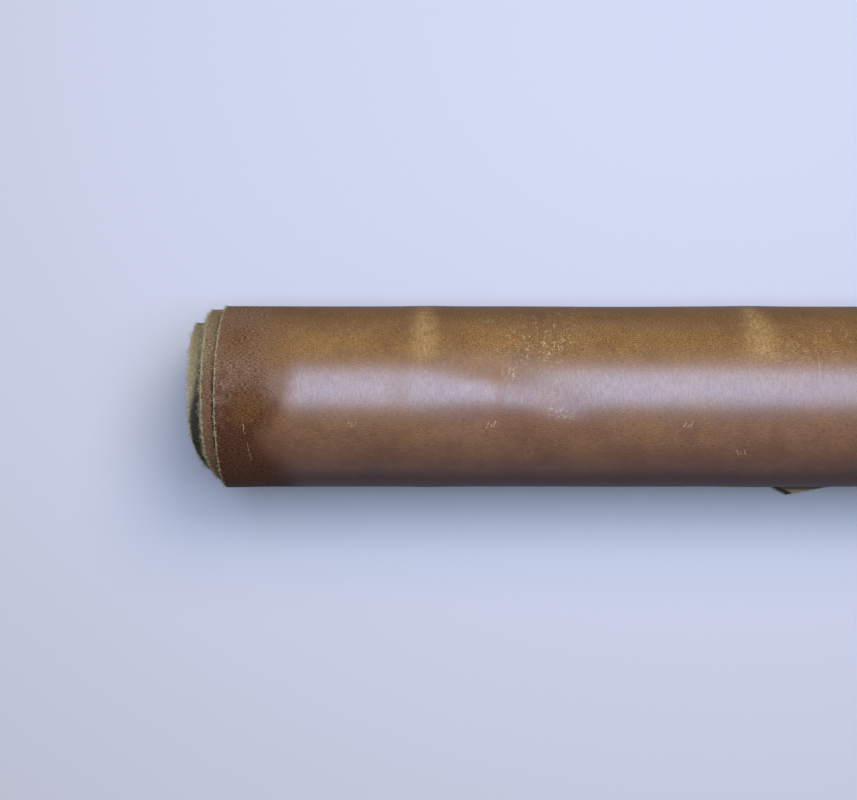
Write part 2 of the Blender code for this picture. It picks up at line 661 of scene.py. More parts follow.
fold_band, wires, given, result = new_group(
    "fold band",
    {"Fold": 0.0, "Narrow": 0.003, "Wide": 0.009, "Starts": 0.085, "Ends": 0.175},
    ["Band"],
)
split = wires.split(given["Place"])
width = wires.node("ShaderNodeMapRange", {
    "Value": split[1],
    "From Min": given["Starts"],
    "From Max": given["Ends"],
    "To Min": given["Narrow"],
    "To Max": given["Wide"],
})[0]
wander = wires.noise(given["Place"], 110.0, 3.0, 0.6) - 0.5
ratio = (split[0] - given["Fold"] - wander * BAND_WANDERS) / width
bell = wires.math("EXPONENT", ratio * ratio * -0.5)
opens = split[1].eased(given["Starts"], given["Starts"] + BAND_OPENS_OVER)
ragged_end = split[1] + wander * BAND_END_WANDERS
closes = ragged_end.eased(given["Ends"] - BAND_CLOSES_OVER, given["Ends"], 1.0, 0.0)
wires.feed(result["Band"], bell * (opens * closes))
print(fold_band.name)

# %% [markdown]
# Rubbing against other hides leaves a scatter of pale specks, and curly hairlines where
# the grain broke.  The hairlines are the places where a noise passes through one half:
# the border between its hills and valleys is a thin curly line.

# %% Group: rubbed web
rubbed_web, wires, given, result = new_group(
    "rubbed web", {"Curl Size": 0.0064, "Line Width": 0.032}, ["Web"]
)
hills = wires.noise(given["Place"], 1.0 / given["Curl Size"], 3.0, 0.65)
line = abs(hills - 0.5).eased(0.0, given["Line Width"], 1.0, 0.0)
broken = wires.noise(given["Place"], 1.7 / given["Curl Size"], 2.0, 0.6)
wires.feed(result["Web"], line * broken.eased(0.48, 0.56))
print(rubbed_web.name)

# %% [markdown]
# A nick or a scratch is a short straight stroke.  Its mask is the distance to the piece
# of line between two points: the place is dropped onto the line, kept between its ends,
# and measured back.

# %% Group: stroke
stroke, wires, given, result = new_group(
    "stroke", {"From": (0, 0, 0), "To": (0.01, 0, 0), "Width": 0.0005}, ["Mark"]
)
offset = wires.vector("SUBTRACT", given["Place"], given["From"])
line = wires.vector("SUBTRACT", given["To"], given["From"])
dropped = wires.vector("DOT_PRODUCT", offset, line, output="Value")
length_squared = wires.vector("DOT_PRODUCT", line, line, output="Value")
along = wires.math("DIVIDE", dropped, length_squared, clamp=True)
distance = wires.vector("DISTANCE", offset, wires.scaled(line, along), output="Value")
wires.feed(result["Mark"], distance.eased(given["Width"] * 0.25, given["Width"], 1.0, 0.0))
print(stroke.name)

# %% [markdown]
# The cut edges have lost their finish, and loose fibres turn them pale.  The wear is
# deepest at the very edge, and a noise makes its inner border uneven.

# %% Group: worn edge
worn_edge, wires, given, result = new_group(
    "worn edge",
    {"Half Width": HALF_WIDTH, "Wear Width": 0.001, "Fray Size": 0.002},
    ["Wear", "Distance"],
)
distance = given["Half Width"] - abs(wires.split(given["Place"])[0])
fray = wires.noise(given["Place"], 1.0 / given["Fray Size"], 3.0, 0.6)
width = given["Wear Width"] * fray.eased(0.38, 0.62, 0.2, 1.9)
wires.feed(result["Wear"], (distance / width).eased(0.1, 1.0, 1.0, 0.0))
wires.feed(result["Distance"], distance)
print(worn_edge.name)

# %% [markdown]
# The flesh side and the cut edges are suede: short fibres that catch the light in all
# directions.  Two sizes of noise give a nap tone, and the finer one a height for the bump.

# %% Group: suede nap
suede_nap, wires, given, result = new_group("suede nap", {"Nap Size": 0.0009}, ["Tone", "Height"])
naps_per_metre = 1.0 / given["Nap Size"]
short_nap = wires.noise(given["Place"], naps_per_metre, 3.0, 0.65)
brushed = wires.noise(given["Place"], naps_per_metre * 0.08, 3.0, 0.55)
wires.feed(result["Tone"], short_nap * 0.6 + brushed * 0.4)
wires.feed(result["Height"], short_nap)
print(suede_nap.name)

# %% [markdown]
# ### The waxed grain side
#
# Pull-up leather is dyed through and filled with wax.  Its brown varies from golden to
# deep, golden bands run around the roll where it was once folded, and the margin at each
# side edge took less wax and more dye, so it is dull, dark and napped.

# %% Colours and marks of the grain side
WAXED_BROWN = (0.250, 0.117, 0.022, 1)
DEEP_BROWN = (0.110, 0.047, 0.010, 1)
WAXED_RED = (0.211, 0.095, 0.036, 1)
DEEP_RED = (0.103, 0.041, 0.017, 1)
# Painted shade for the back and the front of the roll
PAINTED_SHADE_BACK = (0.055, 0.024, 0.003, 1)
PAINTED_SHADE_FRONT = (0.050, 0.023, 0.022, 1)
GOLDEN = (0.370, 0.215, 0.062, 1)
PALE_SCUFF = (0.620, 0.490, 0.240, 1)
MARGIN_UPPER = (0.142, 0.071, 0.031, 1)
MARGIN_LOWER = (0.057, 0.015, 0.004, 1)
MARGIN_ORANGE = (0.165, 0.066, 0.009, 1)
MARGIN_ORANGE_DARK = (0.040, 0.014, 0.002, 1)
NAP_PALE = (0.345, 0.222, 0.100, 1)
NAP_DARK = (0.028, 0.010, 0.004, 1)
HALF_BARE = (0.180, 0.088, 0.034, 1)
HALF_BARE_DARK = (0.052, 0.024, 0.009, 1)
BARE_KHAKI = (0.280, 0.220, 0.104, 1)
BARE_DARK = (0.130, 0.088, 0.036, 1)
# Painted shade in the gap between inner turns, and beside the step of the outermost turn
SHADED_NAP = (0.020, 0.018, 0.011, 1)
STEP_SHADE = (0.026, 0.014, 0.006, 1)

FOLDS = (-0.3210, -0.1100, 0.0980, 0.3050)
GOLDEN_PATCHES = (
    # place along the roll, place along the leather, reach along the roll, reach around it, strength
    (-0.3750, 0.1500, 0.0400, 0.020, 0.14),
    (-0.2500, 0.1500, 0.0400, 0.020, 0.10),
    (-0.1750, 0.1480, 0.0350, 0.018, 0.08),
    (0.0100, 0.1500, 0.0700, 0.028, 0.14),
    (0.2200, 0.1500, 0.0700, 0.028, 0.14),
)
SCUFFS = (
    # place along the roll, place along the leather, reach along the roll, reach around it, strength
    (-0.2560, 0.1560, 0.0080, 0.018, 0.86),
    (-0.2420, 0.1580, 0.0120, 0.015, 0.82),
    (-0.2670, 0.1740, 0.0080, 0.011, 0.80),
    (-0.2405, 0.1930, 0.0080, 0.018, 0.56),
    (-0.2360, 0.2000, 0.0120, 0.008, 0.60),
    (-0.2770, 0.1310, 0.0150, 0.010, 0.70),
    (-0.2480, 0.1450, 0.0480, 0.038, 0.52),
    (-0.2300, 0.1260, 0.0200, 0.012, 0.60),
    (-0.0900, 0.1600, 0.0400, 0.030, 0.30),
    (0.1700, 0.1600, 0.0200, 0.024, 0.90),
    (0.1900, 0.1700, 0.0400, 0.040, 0.50),
)
DULLED = (
    # place along the roll, place along the leather, reach along the roll, reach around it, strength
    (-0.2500, 0.1880, 0.0480, 0.055, 0.30),
    (-0.2735, 0.1860, 0.0080, 0.030, 0.40),
    (-0.3370, 0.1850, 0.0120, 0.020, 0.20),
)
ORANGE_IN_MARGIN = (
    # place along the roll, place along the leather, reach along the roll, reach around it, strength
    (-0.4290, 0.1960, 0.0200, 0.019, 0.80),
    (-0.4370, 0.1500, 0.0160, 0.020, 0.50),
)
NICKS = (
    # place along the roll, place along the leather
    (-0.3658, 0.2071),
    (-0.2795, 0.2071),
    (-0.1567, 0.2071),
    (-0.1222, 0.2270),
    (0.0460, 0.2080),
    (0.2100, 0.2150),
)
SCRATCHES = (
    # start along the roll and along the leather, end along both, width
    (-0.4323, 0.2070, -0.4317, 0.2090, 0.0004),
    (-0.4317, 0.2090, -0.4321, 0.2112, 0.0004),
    (-0.4321, 0.2112, -0.4311, 0.2130, 0.0003),
    (-0.4302, 0.2200, -0.4300, 0.2235, 0.0003),
    (-0.4300, 0.2235, -0.4292, 0.2290, 0.0004),
    (-0.4292, 0.2290, -0.4288, 0.2335, 0.0003),
    (-0.0757, 0.1610, -0.0757, 0.1770, 0.00026),
    (-0.0747, 0.1475, -0.0747, 0.1525, 0.00024),
    (-0.0573, 0.1505, -0.0541, 0.1458, 0.0004),
    (-0.0669, 0.1612, -0.0646, 0.1602, 0.0005),
    (-0.0713, 0.1765, -0.0709, 0.1768, 0.0005),
    (-0.0615, 0.1722, -0.0607, 0.1728, 0.0006),
    (-0.0545, 0.1532, -0.0510, 0.1537, 0.0004),
    (-0.0670, 0.1440, -0.0640, 0.1436, 0.0004),
    (-0.2575, 0.1586, -0.2555, 0.1590, 0.0007),
    (-0.2450, 0.1440, -0.2442, 0.1450, 0.0006),
    (-0.2373, 0.1560, -0.2370, 0.1590, 0.0006),
    (-0.2750, 0.1149, -0.2730, 0.1149, 0.0006),
    (-0.2235, 0.1121, -0.2217, 0.1121, 0.0006),
)
print(len(FOLDS), "folds and", len(SCRATCHES), "scratches")

# %% [markdown]
# Each mark is a group placed with its own values, and a loop keeps the strongest of
# them at every point.  A nick is three short strokes that lean the same way.

# %% Gather the marks
NICK_STROKES = (
    # offset along the roll, offset along the leather, half length
    (-0.0022, 0.0002, 0.0018),
    (-0.0001, 0.0006, 0.0011),
    (0.0021, -0.0003, 0.0021),
)
NICK_JITTER = 0.0003
NICK_WIDTH = 0.00050


def new_material(name):
    material = bpy.data.materials.new(name)
    material.use_nodes = True
    wires = Wiring(material.node_tree)
    shader = material.node_tree.nodes["Principled BSDF"]
    place = wires.node("ShaderNodeUVMap", {}, uv_map="hide in metres")[0]
    # The groups take a vector.  Turned into one here, once, it costs the renderer less room
    place = wires.vector("MULTIPLY", place, (1, 1, 0))
    return material, wires, shader.inputs, place


def streaks(wires, place, seed, across_hide, along_hide, sway):
    return wires.group(drawn_streaks, {
        "Place": place,
        "Size Across Hide": across_hide,
        "Size Along Hide": along_hide,
        "Sway": sway,
        "Seed": seed,
    })["Streak"]


def patch_share(wires, place, rows, raggedness, fray_size):
    strongest = 0.0
    for along_roll, along_hide, reach_roll, reach_around, strength in rows:
        patch = wires.group(ragged_patch, {
            "Place": place,
            "Centre": (along_roll, along_hide, 0),
            "Reach": (reach_roll, reach_around, 1),
            "Raggedness": raggedness,
            "Fray Size": fray_size,
        })["Patch"]
        strongest = wires.larger(strongest, patch * strength)
    return strongest


def nick_lines():
    """Short strokes beside each other for each nick, all leaning the same way."""
    chance = np.random.default_rng(5)
    lines = []
    for along_roll, along_hide in NICKS:
        lean = chance.choice([-1, 1]) * chance.uniform(0.10, 0.15)
        for across, around, half in NICK_STROKES:
            x = along_roll + across + chance.uniform(-NICK_JITTER, NICK_JITTER)
            y = along_hide + around + chance.uniform(-NICK_JITTER, NICK_JITTER)
            angle = (0.5 + lean + chance.uniform(-0.02, 0.02)) * math.pi
            dx, dy = half * math.cos(angle), half * math.sin(angle)
            lines.append((x - dx, y - dy, x + dx, y + dy, NICK_WIDTH))
    return lines


def stroke_share(wires, place):
    strongest = 0.0
    for x0, y0, x1, y1, width in list(SCRATCHES) + nick_lines():
        ends = {"From": (x0, y0, 0), "To": (x1, y1, 0)}
        mark = wires.group(stroke, {"Place": place, **ends, "Width": width})["Mark"]
        strongest = wires.larger(strongest, mark)
    return strongest * wires.noise(place, 900.0, 2.0, 0.6).eased(0.42, 0.57, 0.12, 1.0)


print("strokes:", len(SCRATCHES) + len(NICKS) * len(NICK_STROKES))

# %% [markdown]
# The grain material mixes its colours from the bottom up: mottled brown, golden folds,
# patches and creases, pale scuffs, painted shade at the back and the front of the roll,
# the napped margin with its orange places, nicks and scratches, the strip that the dye
# never reached with painted shade in its gaps, and last the worn edge.  Most of them
# change around the roll, from its back over its top to its front, so they follow the
# place along the leather.

# %% The margin beside the side edges
MARGIN_WIDTH = 0.0385
MARGIN_NOTCH = 0.0090
NOTCH_PLACE = 0.221


def margin_share(wires, place, distance, along_hide):
    """1 on the napped margin beside the side edges, 0 on the waxed leather."""
    notch = abs(along_hide - NOTCH_PLACE).eased(0.0, 0.024, MARGIN_NOTCH, 0.0)
    border = MARGIN_WIDTH - notch
    wander = wires.noise(place, 110.0, 3.0, 0.6) - 0.5
    beyond = distance - border + wander * 0.014
    soft = along_hide.eased(0.165, 0.200, 0.022, 0.0110)
    return (beyond / soft).eased(-1.0, 1.0, 1.0, 0.0)


def margin_colour(wires, along_hide, nap, cloud):
    """Dark nap with pale and black specks, darkest towards the front of the roll."""
    lower = (along_hide + (cloud - 0.5) * 0.10).eased(0.166, 0.207)
    colour = wires.blend(lower, MARGIN_UPPER, MARGIN_LOWER)
    pale_share = along_hide.eased(0.168, 0.205, 0.52, 0.23)
    colour = wires.blend(nap.eased(0.52, 0.33, 0.0, 0.82), colour, NAP_DARK)
    return wires.blend(nap.eased(0.48, 0.70) * pale_share, colour, NAP_PALE)


def bare_strip(wires, along_hide, distance, nap, cloud):
    """The strip beside the edge of the inner turns, which the dye never reached, with painted shade
    in its gaps.
    """
    half_bare = along_hide.eased(0.34, 0.40)
    all_bare = along_hide.eased(1.1, 1.6)
    strip = distance.eased(0.012, 0.030, 1.0, 0.0)
    khaki = wires.blend(nap.eased(0.36, 0.64), BARE_DARK, BARE_KHAKI)

    # The second turn is half dyed.  Its back is worn through, and its front hardly
    rubbed_top = along_hide.eased(0.522, 0.554, 0.90, 0.10)
    worn_through = nap.eased(0.38, 0.64, 0.45, 1.0) * rubbed_top
    worn_through *= distance.eased(0.003, 0.008, 1.0, 0.40)
    half_bare_colour = wires.blend(nap.eased(0.36, 0.62), HALF_BARE_DARK, HALF_BARE)
    worn_through = wires.larger(worn_through, along_hide.eased(0.482, 0.494, 1.0, 0.0))
    worn_colour = wires.blend(worn_through, half_bare_colour, khaki)
    colour = wires.blend(all_bare, worn_colour, khaki)

    # Painted shade in the deep gap on an inner turn, along a slanting line, and painted shade beside
    # the step of the outermost turn
    gap_shade_place = along_hide + cloud * 0.02 + distance * 5.2
    painted_gap_shade = gap_shade_place.eased(1.9145, 1.9375, 0.0, 0.92)
    painted_gap_shade *= along_hide.eased(2.00, 2.06, 1.0, 0.0)
    colour = wires.blend(painted_gap_shade, colour, SHADED_NAP)
    beside_step = (distance - (nap - 0.5) * 0.002).eased(0.0060, 0.0072, 0.0, 0.90)
    beside_step *= along_hide.eased(0.532, 0.552)
    beside_step *= along_hide.eased(0.66, 0.70, 1.0, 0.0)
    colour = wires.blend(beside_step, colour, STEP_SHADE)
    return strip * wires.larger(half_bare * 0.9, all_bare), colour


print("margin in mm:", 1000 * MARGIN_WIDTH)

# %% [markdown]
# The wax film is the shader's coat.  It thins out over scuffs and ends at the margin.

# %% Material: waxed grain
GRAIN_ROUGHNESS = 0.55
MARGIN_ROUGHNESS = 0.78
WAX_STARTS = 0.0450
WAX_FADE = 0.009
WAX_ROUGHNESS = 0.35
WAX_IOR = 1.70
MARGIN_WAX = 0.03
GRAIN_SPECULAR = 0.12

# Places along the leather
ROLL_TOP = 0.186
FRONT_SPECKS = 0.210
BACK_TO_TOP = (0.152, 0.176)
TOP_TO_FRONT = (0.198, 0.210)
LOW_FRONT = (0.222, 0.246)

# Heights of the relief in millimetres
PEBBLE_HEIGHT = 0.012
SPECKLE_HEIGHT = 0.022
BRUSH_HEIGHTS = (0.030, 0.008)
CREASE_HEIGHT = 0.04
HAIRLINE_HEIGHT = 0.06
NAP_HEIGHT = 0.32
FLECK_HEIGHT = 0.04


def grain_material():
    material, wires, shader, place = new_material("waxed grain")
    along_hide = wires.split(place)[1]
    edge = wires.group(worn_edge, {"Place": place, "Wear Width": 0.0011})
    distance = edge["Distance"]
    grain = wires.group(pebbled_grain, {"Place": place})
    speckle = grain["Speckle"]
    coarse = {"Place": place, "Pebble Size": 0.0019, "Warp": 0.0014}
    coarse_pebbles = wires.group(pebbled_grain, coarse)["Height"]

    # Seed, size across the hide, size along it, sway
    hairlines = streaks(wires, place, 3.0, 0.0024, 0.00065, 0.003)
    wrinkles = streaks(wires, place, 9.0, 0.0046, 0.0009, 0.003)
    drawn_lines = streaks(wires, place, 5.0, 0.0100, 0.0012, 0.001)
    brush_lines = streaks(wires, place, 7.0, 0.0007, 0.0050, 0.002)
    wide_brush = streaks(wires, place, 13.0, 0.0019, 0.0065, 0.004)
    brush_lines = wires.mix(0.42, brush_lines, wide_brush)
    nap = streaks(wires, place, 11.0, 0.0019, 0.00046, 0.0015)
    mottling = wires.noise(place, 30.0, 4.0, 0.6)
    cloud = wires.noise(place, 95.0, 3.0, 0.6)
    margin = margin_share(wires, place, distance, along_hide)

    # The back is golden brown and grainy, the front redder, calmer and drawn out in lines
    zone = (wires.noise(place, 16.0, 2.0, 0.5) - 0.5) * 0.10
    front = (along_hide + zone).eased(0.165, 0.225)
    off_top = abs(along_hide - ROLL_TOP).eased(0.014, 0.026)
    fine = hairlines * 0.65 + speckle * 0.35
    tone = wires.mix(along_hide.eased(0.196, 0.212, 0.10, 0.40), fine, wrinkles)
    tone = wires.mix(along_hide.eased(*LOW_FRONT, 0.0, 0.75), tone, drawn_lines)
    contrast = along_hide.eased(*BACK_TO_TOP, 1.00, 0.42)
    contrast += along_hide.eased(*TOP_TO_FRONT, 0.0, 0.43)
    contrast -= along_hide.eased(*LOW_FRONT, 0.0, 0.37)
    contrast *= mottling.eased(0.38, 0.62, 0.50, 0.98)
    tone = (tone - 0.5) * contrast
    clouded = mottling * 0.27 + cloud * 0.10
    clouded = (clouded - 0.185) * wires.mix(off_top, 0.5, 1.05)
    tone = tone * 0.80 + (clouded + 0.50)
    wrinkled = along_hide.eased(0.150, 0.172, 0.24, 0.0) * mottling.eased(0.40, 0.60, 0.5, 1.0)
    tone += (coarse_pebbles - 0.68) * wrinkled

    # A few crisp specks stand out of the soft grain
    specks = hairlines.eased(0.60, 0.67) - hairlines.eased(0.40, 0.33)
    specks *= along_hide.eased(*BACK_TO_TOP, 0.12, 0.05)
    speck_share = abs(along_hide - FRONT_SPECKS).eased(0.008, 0.022, 2.0, 1.0)
    tone += specks * speck_share
    share = tone.eased(0.36, 0.64)
    back_colour = wires.blend(share, DEEP_BROWN, WAXED_BROWN)
    colour = wires.blend(front, back_colour, wires.blend(share, DEEP_RED, WAXED_RED))

    folded = 0.0
    for fold in FOLDS:
        folded = wires.larger(folded, wires.group(fold_band, {"Place": place, "Fold": fold})["Band"])
    golden = folded * cloud.eased(0.36, 0.62, 0.48, 0.70)
    golden = wires.larger(golden, patch_share(wires, place, GOLDEN_PATCHES, 0.8, 0.012))
    golden *= brush_lines.eased(0.40, 0.60, 0.60, 1.35)
    golden = wires.math("MULTIPLY", golden, fine.eased(0.36, 0.62, 0.50, 1.25), clamp=True)
    colour = wires.blend(golden, colour, GOLDEN)

    creased = wrinkles.eased(0.61, 0.69) * cloud.eased(0.42, 0.58, 0.0, 0.45)
    creased *= along_hide.eased(0.204, 0.226, 1.0, 0.3)
    creased *= off_top
    colour = wires.blend(creased, colour, GOLDEN)

    scuffed = patch_share(wires, place, SCUFFS, 1.2, 0.006)
    web = wires.group(rubbed_web, {"Place": place})["Web"]
    flecks = scuffed * wires.larger(speckle.eased(0.63, 0.70), web)
    colour = wires.blend(flecks * 0.66, colour, PALE_SCUFF)

    # Painted shade: the back and the front of the roll are painted darker than its top
    behind = along_hide.eased(0.112, 0.162, 0.52, 0.0)
    behind *= 1.0 - golden * 0.7
    colour = wires.blend(behind, colour, PAINTED_SHADE_BACK)
    below = along_hide.eased(0.212, 0.264, 0.0, 0.86)
    below *= along_hide.eased(0.284, 0.325, 1.0, 0.28)
    colour = wires.blend(below, colour, PAINTED_SHADE_FRONT)

    napped = margin_colour(wires, along_hide, nap, cloud)
    orange = wires.blend(nap.eased(0.36, 0.66), MARGIN_ORANGE_DARK, MARGIN_ORANGE)
    napped = wires.blend(patch_share(wires, place, ORANGE_IN_MARGIN, 1.0, 0.008), napped, orange)
    colour = wires.blend(margin, colour, napped)
    colour = wires.blend(stroke_share(wires, place) * 0.42, colour, PALE_SCUFF)
    bare, bare_colour = bare_strip(wires, along_hide, distance, nap, cloud)
    colour = wires.blend(bare, colour, bare_colour)
    colour = wires.blend(edge["Wear"] * 0.9, colour, BARE_KHAKI)
    wires.feed(shader["Base Color"], colour)

    wax_border = distance + (mottling - 0.5) * 0.010
    wax = wax_border.eased(WAX_STARTS - WAX_FADE, WAX_STARTS + WAX_FADE)
    dull = 1.0 - wax
    wires.feed(shader["Roughness"], dull * (MARGIN_ROUGHNESS - GRAIN_ROUGHNESS) + GRAIN_ROUGHNESS)
    dulled = wires.larger(patch_share(wires, place, DULLED, 0.7, 0.008), flecks * 0.6)
    brushed = brush_lines.eased(0.39, 0.61, along_hide.eased(*TOP_TO_FRONT, 0.72, 0.90), 1.0)
    film = brushed * (1.0 - dulled)
    haze = wax_border.eased(0.027, 0.040, MARGIN_WAX, along_hide.eased(0.184, 0.196, 0.24, 0.12))
    film *= wires.larger(wax, haze)

    # Seen at a slant, the rough wax scatters light rather than mirrors it
    slant = wires.node("ShaderNodeLayerWeight", {"Blend": 0.5})["Facing"]
    wires.feed(shader["Coat Weight"], film * slant.eased(0.15, 0.58, 1.0, 0.04))
    shader["Coat Roughness"].default_value = WAX_ROUGHNESS
    shader["Coat IOR"].default_value = WAX_IOR
    shader["Specular IOR Level"].default_value = GRAIN_SPECULAR

    height = grain["Height"] * PEBBLE_HEIGHT + speckle * SPECKLE_HEIGHT
    height += brush_lines * along_hide.eased(*TOP_TO_FRONT, *BRUSH_HEIGHTS)
    height += creased * CREASE_HEIGHT
    height += (hairlines + coarse_pebbles) * (off_top * HAIRLINE_HEIGHT)
    height += dull * (nap * NAP_HEIGHT)
    height += flecks * FLECK_HEIGHT
    wires.feed(shader["Normal"], wires.bump(height))
    return material


print("the wax starts", 1000 * WAX_STARTS, "mm from the edge")

# %% [markdown]
# The flesh side was next to the meat: pale, dull and brushed up.  The cut edge shows the
# same fibres end on.  Both are suede of their own tone.

# %% Materials: flesh side, cut edge and loose fibres
FLESH_PALE = (0.330, 0.230, 0.115, 1)
FLESH_DARK = (0.160, 0.098, 0.044, 1)
CUT_PALE = (0.400, 0.315, 0.150, 1)
CUT_DARK = (0.105, 0.068, 0.030, 1)
FIBRE_PALE = (0.540, 0.440, 0.230, 1)
FIBRE_DARK = (0.130, 0.092, 0.042, 1)
# Painted light and painted shadow on the corner of the loose end
CORNER_PAINTED_LIGHT = (0.380, 0.295, 0.125, 1)
CORNER_PAINTED_SHADOW = (0.030, 0.022, 0.014, 1)
CORNER_SLOPE = 1.86
CORNER_DARK_SIDE = -0.1873
CORNER_BLUR = 0.0015
CORNER_STARTS = 0.0400
SUEDE_SPECULAR = 0.2


def corner_colour(wires, place, colour):
    """The corner of the loose end: painted shadow at its left and where it goes under the roll, and
    painted light on the rest.
    """
    split = wires.split(place)
    at_corner = split[1].eased(-CORNER_STARTS - 0.012, -CORNER_STARTS, 0.9, 0.0)
    slanted = split[0] + split[1] * CORNER_SLOPE
    # Painted shadow at the left of the corner and where it goes under the roll
    painted_shadow_left = slanted.eased(CORNER_DARK_SIDE - CORNER_BLUR, CORNER_DARK_SIDE + CORNER_BLUR, 1.0, 0.0)
    painted_shadow_under_roll = split[1].eased(-0.0670, -0.0646, 0.0, 0.80)
    dark = wires.larger(painted_shadow_left, painted_shadow_under_roll)
    return wires.blend(at_corner, colour, wires.blend(dark, CORNER_PAINTED_LIGHT, CORNER_PAINTED_SHADOW))


def suede_material(name, nap_size, dark, pale, height, on_fibres=False, with_corner=False):
    material, wires, shader, place = new_material(name)
    if on_fibres:
        # The fibres have no flat place
        place = wires.node("ShaderNodeTexCoord", {})["Object"]
    nap = wires.group(suede_nap, {"Place": place, "Nap Size": nap_size})
    colour = wires.blend(nap["Tone"].eased(0.36, 0.64), dark, pale)
    if with_corner:
        colour = corner_colour(wires, place, colour)
    wires.feed(shader["Base Color"], colour)
    wires.feed(shader["Roughness"], nap["Tone"].eased(0.3, 0.7, 0.95, 0.80))
    shader["Specular IOR Level"].default_value = SUEDE_SPECULAR
    wires.feed(shader["Normal"], wires.bump(nap["Height"] * height))
    return material


waxed_grain = grain_material()
flesh_suede = suede_material("flesh suede", 0.0010, FLESH_DARK, FLESH_PALE, 0.20, with_corner=True)
cut_suede = suede_material("cut edge", 0.0006, CUT_DARK, CUT_PALE, 0.25)
loose_fibres = suede_material("loose fibres", 0.0015, FIBRE_DARK, FIBRE_PALE, 0.02, on_fibres=True)
print([material.name for material in (waxed_grain, flesh_suede, cut_suede, loose_fibres)])

# %% [markdown]
# ## Put the hide together
#
# The rolled sheet stands for the plain solid.

# %% The hide
def place_in_scene(name, mesh):
    obj = bpy.data.objects.new(name, mesh)
    bpy.context.scene.collection.objects.link(obj)
    return obj


hide = place_in_scene("rolled_hide", sheet_mesh("rolled_hide", points, flat_places))
for material in (waxed_grain, flesh_suede, cut_suede):
    hide.data.materials.append(material)
thicken(hide)
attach(hide, "root")
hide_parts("hide")
print("triangles in the hide:", sum(len(face.vertices) - 2 for face in hide.data.polygons))

# %% [markdown]
# ## Loose fibres
#
# A knife leaves a beard of torn fibres along thick leather.  They are what draws the
# pale line along each cut edge.  Each fibre is a thin three-sided spike that bends once,
# and all the fibres of one edge are joined in one mesh.

# %% Build many fibres at once
FIBRE_CORNERS = 3
FIBRE_POINTS = 2 * FIBRE_CORNERS + 1
FIBRE_FACES = 10
MIDDLE_THINNER = 0.7
X_AXIS = np.array([[1.0, 0.0, 0.0]])
Y_AXIS = np.array([[0.0, 1.0, 0.0]])
Z_AXIS = np.array([[0.0, 0.0, 1.0]])


def unit(vectors):
    return vectors / np.linalg.norm(vectors, axis=1, keepdims=True)


def fibre_mesh(name, roots, tips, bends, radius):
    """Closed spikes from roots to tips, each with a ring halfway that bends aside."""
    middle = (roots + tips) / 2 + bends
    direction = unit(tips - roots)
    helper = np.where(np.abs(direction[:, :1]) < 0.7, X_AXIS, Y_AXIS)
    side = unit(np.cross(direction, helper))
    other = np.cross(direction, side)
    angles = [2 * math.pi * k / FIBRE_CORNERS for k in range(FIBRE_CORNERS)]
    ring = [math.cos(a) * side + math.sin(a) * other for a in angles]
    rows = [roots + radius[:, None] * r for r in ring]
    rows += [middle + MIDDLE_THINNER * radius[:, None] * r for r in ring]
    rows.append(tips)
    vertices = np.stack(rows, axis=1).reshape(-1, 3)
    pattern = [(2, 1, 0)]
    for k in range(FIBRE_CORNERS):
        after = (k + 1) % FIBRE_CORNERS
        pattern += [(k, after, 3 + after), (k, 3 + after, 3 + k), (3 + k, 3 + after, 6)]
    first = np.arange(len(roots))[:, None, None] * FIBRE_POINTS
    faces = (first + np.array(pattern)).reshape(-1, 3)
    mesh = bpy.data.meshes.new(name)
    mesh.from_pydata(vertices.tolist(), [], faces.tolist())
    mesh.shade_smooth()
    mesh.materials.append(loose_fibres)
    return mesh


print("a fibre has", FIBRE_FACES, "triangles")

# %% [markdown]
# The fibres of a side edge start anywhere in the cut and point out of it, some up, some
# down and some along it.  The turns that show get more of them.

# %% Fibres along the side edges
FIBRE_RADIUS = 0.000090
FIBRES_PER_METRE = {-1: 5200, 1: 2000}
ROOT_DEPTH = 0.0002
OUTER_TURNS_SHOW = 3.2
INNER_TURNS_SHOW = (4.8, 6.2)
BURIED_SHARE = 0.30
TUFTS_PER_TURN = 70
TUFT_REACH = 0.0035


def wound_frame(turns, place):
    """Point on the grain side, direction of winding and direction outwards."""
    y, z = wound_place(turns)
    y_after, z_after = wound_place(turns + SMALL_TURN)
    along = unit(np.stack([np.zeros_like(y), y_after - y, z_after - z], axis=1))
    outwards = np.stack([np.zeros_like(y), along[:, 2], -along[:, 1]], axis=1)
    out = relief(place, turns)[:, None] * outwards
    x = place + reach_to_side(place, turns)
    return np.stack([x, y, z], axis=1) + out, along, outwards


